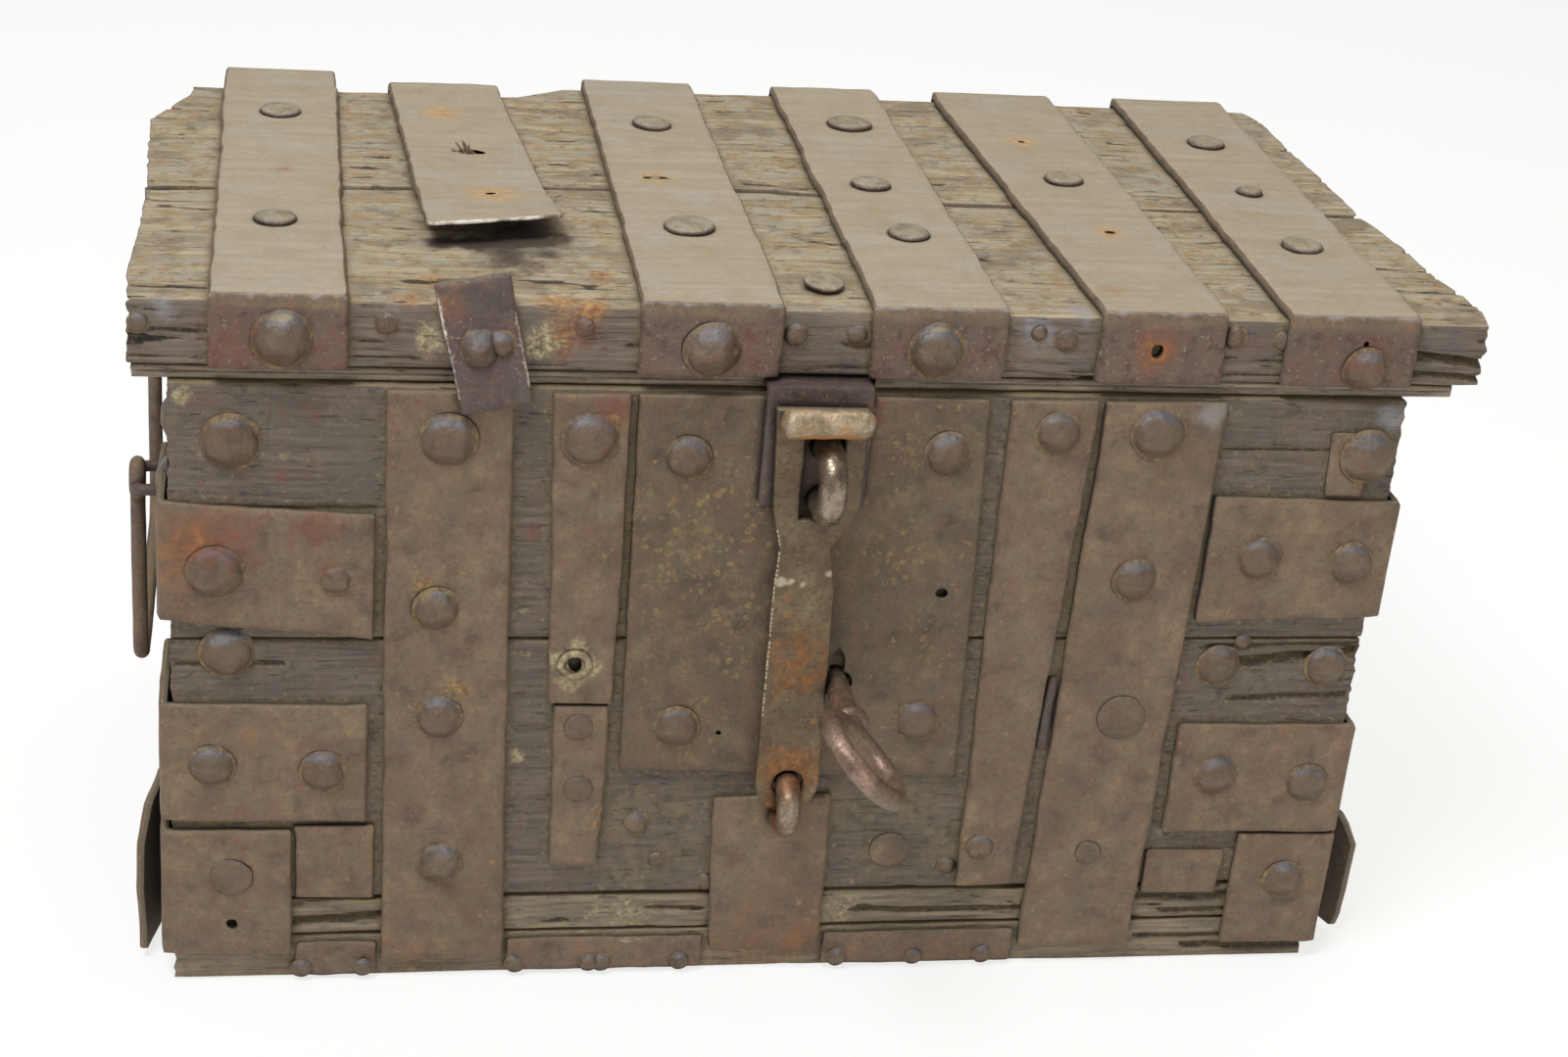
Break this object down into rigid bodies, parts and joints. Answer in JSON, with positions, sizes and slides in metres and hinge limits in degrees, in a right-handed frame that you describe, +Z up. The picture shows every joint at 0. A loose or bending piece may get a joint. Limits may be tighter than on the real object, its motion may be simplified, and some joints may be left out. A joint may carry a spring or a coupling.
{
  "type": "iron-bound strongbox",
  "caption": "Old plank strongbox with a hinged lid, nailed iron straps, a hasp over a staple, a key that slides a lock bolt, and swinging end handles.",
  "frame": {"origin": "on the floor, under the middle of the body", "axes": "+X to the right along the front, +Y from the front to the hinges, +Z up"},
  "size_m": [0.4352, 0.3049, 0.2515],
  "materials": {
    "lid_wood": "weathered grey-tan plank, dry and cracked along the grain",
    "body_wood": "dark aged plank, dry and rough",
    "base_wood": "worn, chipped and partly rotten board",
    "strap_iron": "hammered strap iron with old brown rust",
    "dark_iron": "dark pitted iron",
    "rusty_iron": "orange-brown rusted iron",
    "worn_steel": "iron rubbed bright by use, with brown stains"
  },
  "bodies": {
    "chest_body": {"base_board": "base_wood", "front_board_lower": "base_wood", "front_board_middle": "body_wood", "front_board_upper": "body_wood", "back_board_lower": "body_wood", "back_board_upper": "body_wood", "end_board_left": "body_wood", "end_board_right": "body_wood", "front_strap_1": "strap_iron", "front_strap_2_upper": "strap_iron", "front_strap_2_lower": "strap_iron", "lock_plate": "dark_iron", "front_strap_4": "strap_iron", "front_strap_5": "strap_iron", "hasp_plate": "strap_iron", "old_plate_left": "strap_iron", "old_plate_right": "strap_iron", "remnant_plate": "strap_iron", "corner_plate_left_1": "strap_iron", "corner_plate_left_2": "strap_iron", "corner_plate_left_3": "strap_iron", "corner_plate_right_1": "strap_iron", "corner_plate_right_2": "strap_iron", "corner_plate_right_3": "strap_iron", "base_strip_1": "rusty_iron", "base_strip_2": "rusty_iron", "base_strip_3": "rusty_iron", "side_plate_left": "strap_iron", "side_plate_right": "strap_iron", "lower_staple": "worn_steel", "back_strap_1": "strap_iron", "back_strap_2": "strap_iron", "back_strap_3": "strap_iron", "hinge_pin_1": "dark_iron", "hinge_pin_2": "dark_iron", "hinge_pin_3": "dark_iron", "left_handle_staple_front": "dark_iron", "left_handle_staple_back": "dark_iron", "right_handle_staple_front": "dark_iron", "right_handle_staple_back": "dark_iron", "lock_case": "dark_iron"},
    "lid": {"lid_plank_front": "lid_wood", "lid_plank_rear": "lid_wood", "lid_lining_left": "body_wood", "lid_lining_right": "body_wood", "lid_strap_1": "strap_iron", "lid_strap_2_rear": "strap_iron", "lid_strap_2_fragment": "dark_iron", "lid_strap_3": "strap_iron", "lid_strap_4": "strap_iron", "lid_strap_5": "strap_iron", "lid_strap_6": "strap_iron", "lid_tongue": "dark_iron", "upper_staple": "worn_steel", "lock_catch": "dark_iron"},
    "hasp": {"hasp": "worn_steel"},
    "left_handle": {"left_handle": "rusty_iron"},
    "right_handle": {"right_handle": "rusty_iron"},
    "key": {"key": "worn_steel"},
    "lock_bolt": {"lock_bolt": "worn_steel"}
  },
  "joints": [
    {"name": "lid_hinge", "type": "hinge", "parent": "chest_body", "child": "lid", "pos_m": [0, 0.117, 0.21415], "axis": [-1, 0, 0], "range_deg": [0, 105]},
    {"name": "hasp_hinge", "type": "hinge", "parent": "chest_body", "child": "hasp", "pos_m": [0.0022, -0.1192, 0.07095], "axis": [1, 0, 0], "range_deg": [0, 19]},
    {"name": "left_handle_pivot", "type": "hinge", "parent": "chest_body", "child": "left_handle", "pos_m": [-0.207, 0, 0.15793], "axis": [0, 1, 0], "range_deg": [0, 165]},
    {"name": "right_handle_pivot", "type": "hinge", "parent": "chest_body", "child": "right_handle", "pos_m": [0.207, 0, 0.15793], "axis": [0, -1, 0], "range_deg": [0, 165]},
    {"name": "key_turn", "type": "hinge", "parent": "chest_body", "child": "key", "pos_m": [0.0162, 0, 0.11321], "axis": [0, 1, 0], "range_deg": [0, 90]},
    {"name": "bolt_slide", "type": "slide", "parent": "chest_body", "child": "lock_bolt", "axis": [1, 0, 0], "range_m": [0, 0.012]}
  ],
  "couplings": [
    {"joint": "bolt_slide", "follows": "key_turn", "m_per_rad": 0.0076394}
  ]
}
